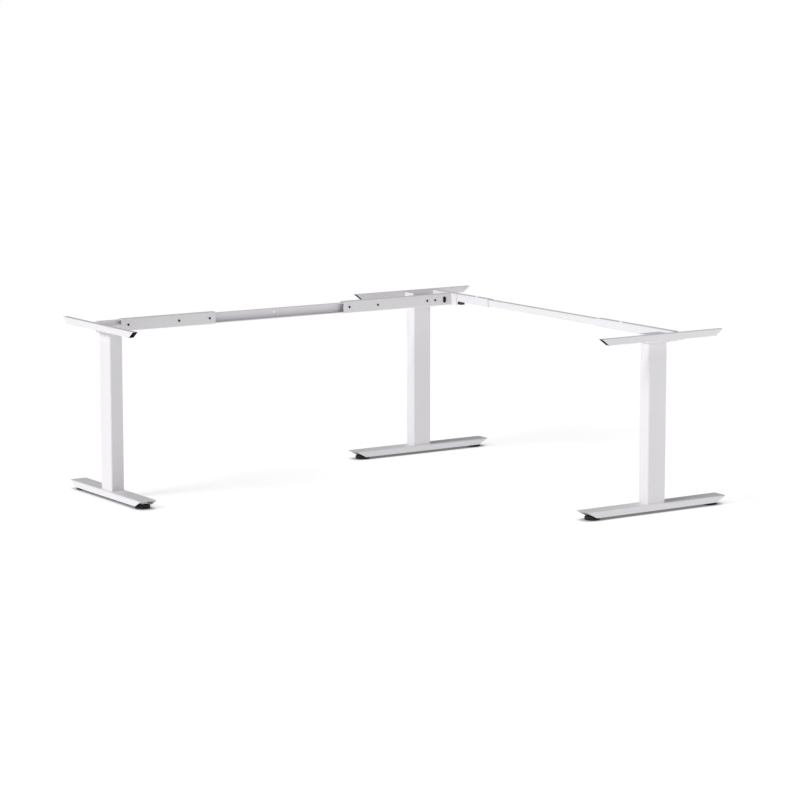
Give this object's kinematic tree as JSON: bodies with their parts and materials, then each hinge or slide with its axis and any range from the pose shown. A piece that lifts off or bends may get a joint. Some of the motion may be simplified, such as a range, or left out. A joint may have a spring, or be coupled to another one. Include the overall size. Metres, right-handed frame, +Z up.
{
  "type": "height adjustable desk frame",
  "caption": "L-shaped electric standing desk frame without a worktop: telescopic lifting columns, extendable rails, top arms, feet and levelling glides.",
  "frame": {"origin": "centre of the footprint, on the floor", "axes": "+X along the left rail from the left leg towards the corner leg; +Y to the back of that side; +Z up"},
  "size_m": [1.8415, 1.6036, 0.641],
  "materials": {
    "white_powder": "satin white powder coat",
    "black_plastic": "matt black",
    "black_rubber": "matt black",
    "black_screw": "black oxide",
    "zinc_steel": "zinc plated",
    "motor_can": "satin black"
  },
  "bodies": {
    "corner_base": {"foot_corner": "white_powder", "tube_outer_corner": "white_powder", "bush_outer_corner": "black_plastic", "screw_base_corner": "zinc_steel"},
    "corner_middle": {"tube_middle_corner": "white_powder", "bush_middle_corner": "black_plastic", "screw_hollow_corner": "zinc_steel"},
    "corner_top": {"tube_inner_corner": "white_powder", "head_corner": "white_powder", "arm_corner": "white_powder", "motor_corner": "motor_can", "rail_far_outer": "white_powder", "rail_right_outer": "white_powder", "screw_right_1": "black_screw", "screw_right_2": "black_screw", "screw_right_3": "black_screw", "screw_right_4": "black_screw", "cable_grommet": "black_plastic", "rail_plug": "black_plastic"},
    "left_rail": {"rail_left_inner": "white_powder"},
    "left_top": {"tube_inner_left": "white_powder", "head_left": "white_powder", "arm_left": "white_powder", "motor_left": "motor_can", "rail_left_outer": "white_powder", "screw_left_1": "black_screw", "screw_left_2": "black_screw", "screw_left_3": "black_screw"},
    "right_rail": {"rail_right_inner": "white_powder"},
    "right_top": {"tube_inner_right": "white_powder", "head_right": "white_powder", "arm_right": "white_powder", "motor_right": "motor_can", "rail_near_outer": "white_powder"},
    "left_middle": {"tube_middle_left": "white_powder", "bush_middle_left": "black_plastic", "screw_hollow_left": "zinc_steel"},
    "left_base": {"foot_left": "white_powder", "tube_outer_left": "white_powder", "bush_outer_left": "black_plastic", "screw_base_left": "zinc_steel"},
    "right_middle": {"tube_middle_right": "white_powder", "bush_middle_right": "black_plastic", "screw_hollow_right": "zinc_steel"},
    "right_base": {"foot_right": "white_powder", "tube_outer_right": "white_powder", "bush_outer_right": "black_plastic", "screw_base_right": "zinc_steel"},
    "drive_left": {"drive_tube_left": "zinc_steel"},
    "drive_corner": {"drive_tube_corner": "zinc_steel"},
    "drive_right": {"drive_tube_right": "zinc_steel"},
    "glide_left_front": {"glide_left_front": "black_rubber"},
    "glide_left_back": {"glide_left_back": "black_rubber"},
    "glide_corner_front": {"glide_corner_front": "black_rubber"},
    "glide_corner_back": {"glide_corner_back": "black_rubber"},
    "glide_right_front": {"glide_right_front": "black_rubber"},
    "glide_right_back": {"glide_right_back": "black_rubber"}
  },
  "joints": [
    {"name": "corner_lift_middle", "type": "slide", "parent": "corner_base", "child": "corner_middle", "axis": [0, 0, 1], "range_m": [0, 0.325]},
    {"name": "corner_lift_top", "type": "slide", "parent": "corner_middle", "child": "corner_top", "axis": [0, 0, 1], "range_m": [0, 0.325]},
    {"name": "left_rail_slide", "type": "slide", "parent": "corner_top", "child": "left_rail", "axis": [1, 0, 0], "range_m": [-0.04, 0.25]},
    {"name": "left_outer_slide", "type": "slide", "parent": "left_rail", "child": "left_top", "axis": [1, 0, 0], "range_m": [-0.04, 0.14]},
    {"name": "right_rail_slide", "type": "slide", "parent": "corner_top", "child": "right_rail", "axis": [0, 1, 0], "range_m": [-0.04, 0.09]},
    {"name": "right_outer_slide", "type": "slide", "parent": "right_rail", "child": "right_top", "axis": [0, 1, 0], "range_m": [-0.04, 0.18]},
    {"name": "left_lift_middle", "type": "slide", "parent": "left_top", "child": "left_middle", "axis": [0, 0, -1], "range_m": [0, 0.325]},
    {"name": "left_lift_base", "type": "slide", "parent": "left_middle", "child": "left_base", "axis": [0, 0, -1], "range_m": [0, 0.325]},
    {"name": "right_lift_middle", "type": "slide", "parent": "right_top", "child": "right_middle", "axis": [0, 0, -1], "range_m": [0, 0.325]},
    {"name": "right_lift_base", "type": "slide", "parent": "right_middle", "child": "right_base", "axis": [0, 0, -1], "range_m": [0, 0.325]},
    {"name": "drive_turn_left", "type": "hinge", "parent": "left_top", "child": "drive_left", "pos_m": [-0.86675, 0.53025, 0.45], "axis": [0, 0, 1], "range_deg": [0, 11700]},
    {"name": "drive_turn_corner", "type": "hinge", "parent": "corner_top", "child": "drive_corner", "pos_m": [0.60925, 0.74025, 0.45], "axis": [0, 0, 1], "range_deg": [0, 11700]},
    {"name": "drive_turn_right", "type": "hinge", "parent": "right_top", "child": "drive_right", "pos_m": [0.60925, -0.74775, 0.45], "axis": [0, 0, 1], "range_deg": [0, 11700]},
    {"name": "level_left_front", "type": "slide", "parent": "left_base", "child": "glide_left_front", "axis": [0, 0, -1], "range_m": [0, 0.01]},
    {"name": "level_left_back", "type": "slide", "parent": "left_base", "child": "glide_left_back", "axis": [0, 0, -1], "range_m": [0, 0.01]},
    {"name": "level_corner_front", "type": "slide", "parent": "corner_base", "child": "glide_corner_front", "axis": [0, 0, -1], "range_m": [0, 0.01]},
    {"name": "level_corner_back", "type": "slide", "parent": "corner_base", "child": "glide_corner_back", "axis": [0, 0, -1], "range_m": [0, 0.01]},
    {"name": "level_right_front", "type": "slide", "parent": "right_base", "child": "glide_right_front", "axis": [0, 0, -1], "range_m": [0, 0.01]},
    {"name": "level_right_back", "type": "slide", "parent": "right_base", "child": "glide_right_back", "axis": [0, 0, -1], "range_m": [0, 0.01]}
  ],
  "couplings": [
    {"joint": "corner_lift_top", "follows": "corner_lift_middle", "ratio": 1},
    {"joint": "left_lift_middle", "follows": "corner_lift_middle", "ratio": 1},
    {"joint": "left_lift_base", "follows": "corner_lift_middle", "ratio": 1},
    {"joint": "right_lift_middle", "follows": "corner_lift_middle", "ratio": 1},
    {"joint": "right_lift_base", "follows": "corner_lift_middle", "ratio": 1},
    {"joint": "drive_turn_left", "follows": "corner_lift_middle", "rad_per_m": 628.32},
    {"joint": "drive_turn_corner", "follows": "corner_lift_middle", "rad_per_m": 628.32},
    {"joint": "drive_turn_right", "follows": "corner_lift_middle", "rad_per_m": 628.32}
  ]
}
